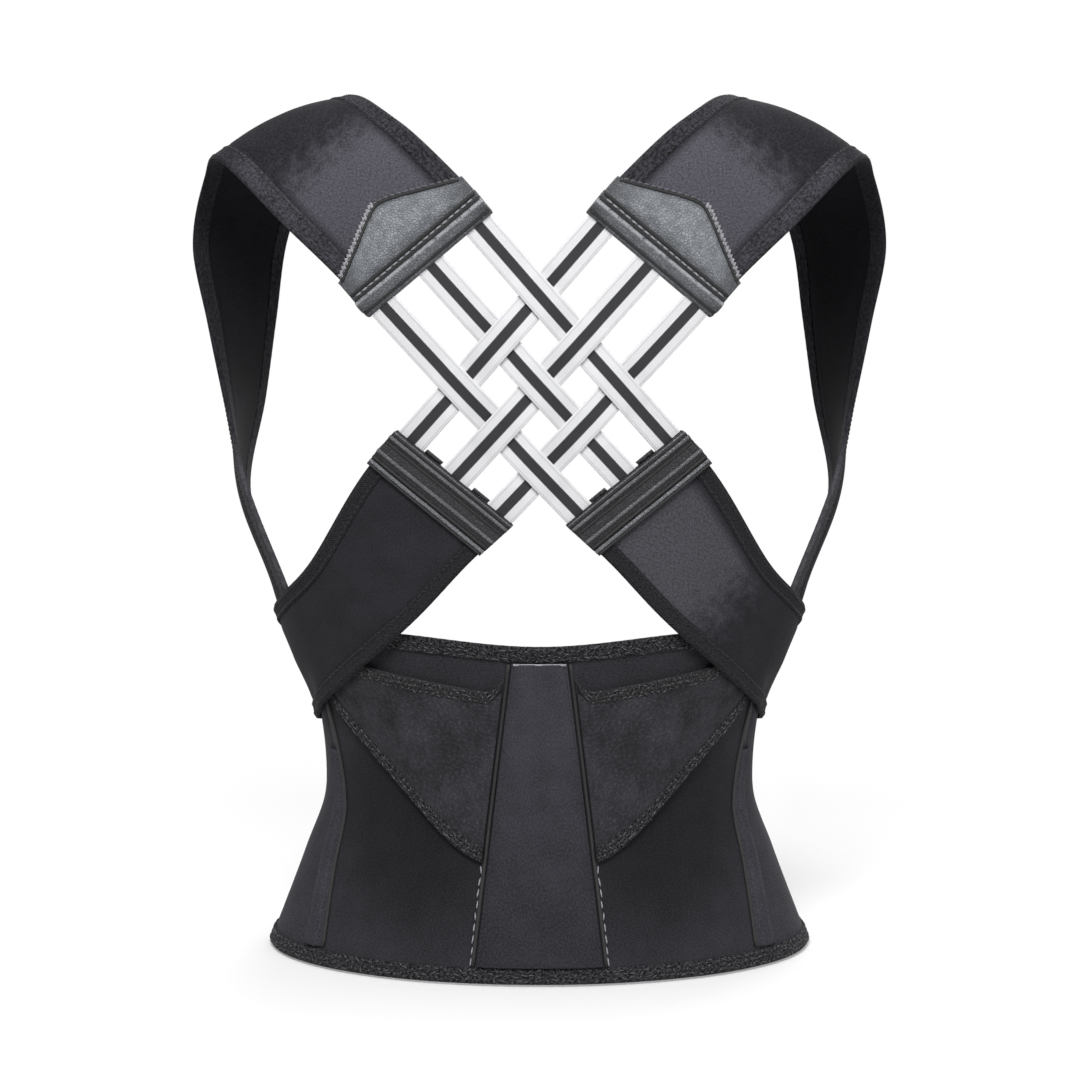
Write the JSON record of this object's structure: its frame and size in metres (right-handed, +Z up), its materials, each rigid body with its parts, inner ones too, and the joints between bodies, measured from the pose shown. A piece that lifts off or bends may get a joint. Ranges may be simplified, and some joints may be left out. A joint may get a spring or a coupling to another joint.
{
  "type": "back brace",
  "caption": "Posture-correcting back brace: a boned waist belt with hook-and-loop front flaps, padded shoulder straps and a woven cross of striped elastic bands between the shoulder blades.",
  "frame": {"origin": "bottom centre of the brace, on the plane its hem stands on", "axes": "+Z up along the spine, +X to the wearer's right, +Y from the wearer's back to the front"},
  "size_m": [0.395, 0.2211, 0.4728],
  "materials": {
    "brushed_fabric": "matt brushed charcoal cloth",
    "knit_binding": "matt folded knit tape",
    "leatherette": "semi-gloss grained leatherette",
    "striped_elastic": "woven elastic, pale with a dark middle stripe",
    "stay_steel": "flat spring steel",
    "bone": "translucent nylon",
    "hook_tape": "moulded hooks",
    "loop_tape": "napped loops"
  },
  "bodies": {
    "brace_back": {"back_hem_binding": "knit_binding", "back_top_binding": "knit_binding", "spine_sleeve": "brushed_fabric", "left_back_panel": "brushed_fabric", "left_side_panel": "brushed_fabric", "left_lumbar_wing": "brushed_fabric", "left_cross_strap": "brushed_fabric", "left_strap_anchor": "brushed_fabric", "left_wing_binding": "knit_binding", "left_cross_strap_outer_binding": "knit_binding", "left_cross_strap_inner_binding": "knit_binding", "left_bone_casing": "knit_binding", "left_side_bone": "bone", "left_spine_stay": "stay_steel", "left_cross_strap_end": "leatherette", "left_elastic_1": "striped_elastic", "left_elastic_2": "striped_elastic", "left_elastic_3": "striped_elastic", "right_back_panel": "brushed_fabric", "right_side_panel": "brushed_fabric", "right_lumbar_wing": "brushed_fabric", "right_cross_strap": "brushed_fabric", "right_strap_anchor": "brushed_fabric", "right_wing_binding": "knit_binding", "right_cross_strap_outer_binding": "knit_binding", "right_cross_strap_inner_binding": "knit_binding", "right_bone_casing": "knit_binding", "right_side_bone": "bone", "right_spine_stay": "stay_steel", "right_cross_strap_end": "leatherette", "right_elastic_1": "striped_elastic", "right_elastic_2": "striped_elastic", "right_elastic_3": "striped_elastic"},
    "left_shoulder": {"left_shoulder_strap": "brushed_fabric", "left_shoulder_strap_outer_binding": "knit_binding", "left_shoulder_strap_inner_binding": "knit_binding", "left_shoulder_tab": "leatherette"},
    "left_flap": {"left_front_flap": "brushed_fabric", "left_flap_top_binding": "knit_binding", "left_flap_hem_binding": "knit_binding", "loop_patch": "loop_tape"},
    "right_shoulder": {"right_shoulder_strap": "brushed_fabric", "right_shoulder_strap_outer_binding": "knit_binding", "right_shoulder_strap_inner_binding": "knit_binding", "right_shoulder_tab": "leatherette"},
    "right_flap": {"right_front_flap": "brushed_fabric", "right_flap_top_binding": "knit_binding", "right_flap_hem_binding": "knit_binding", "hook_patch": "hook_tape"}
  },
  "joints": [
    {"name": "right_flap_open", "type": "hinge", "parent": "brace_back", "child": "right_flap", "pos_m": [0.1356, 0.0479, 0.09], "axis": [0, 0, -1], "range_deg": [0, 100]},
    {"name": "left_flap_open", "type": "hinge", "parent": "brace_back", "child": "left_flap", "pos_m": [-0.1356, 0.0479, 0.09], "axis": [0, 0, 1], "range_deg": [0, 50]},
    {"name": "right_shoulder_lift", "type": "hinge", "parent": "brace_back", "child": "right_shoulder", "pos_m": [0.1506, 0, 0.206], "axis": [0, 1, 0], "range_deg": [0, 10], "stiffness_Nm_per_rad": 4, "deforming": ["right_elastic_1", "right_elastic_2", "right_elastic_3"]},
    {"name": "left_shoulder_lift", "type": "hinge", "parent": "brace_back", "child": "left_shoulder", "pos_m": [-0.1506, 0, 0.206], "axis": [0, -1, 0], "range_deg": [0, 10], "stiffness_Nm_per_rad": 4, "deforming": ["left_elastic_1", "left_elastic_2", "left_elastic_3"]}
  ],
  "couplings": [
    {"joint": "left_flap_open", "follows": "right_flap_open", "ratio": 0.5}
  ]
}
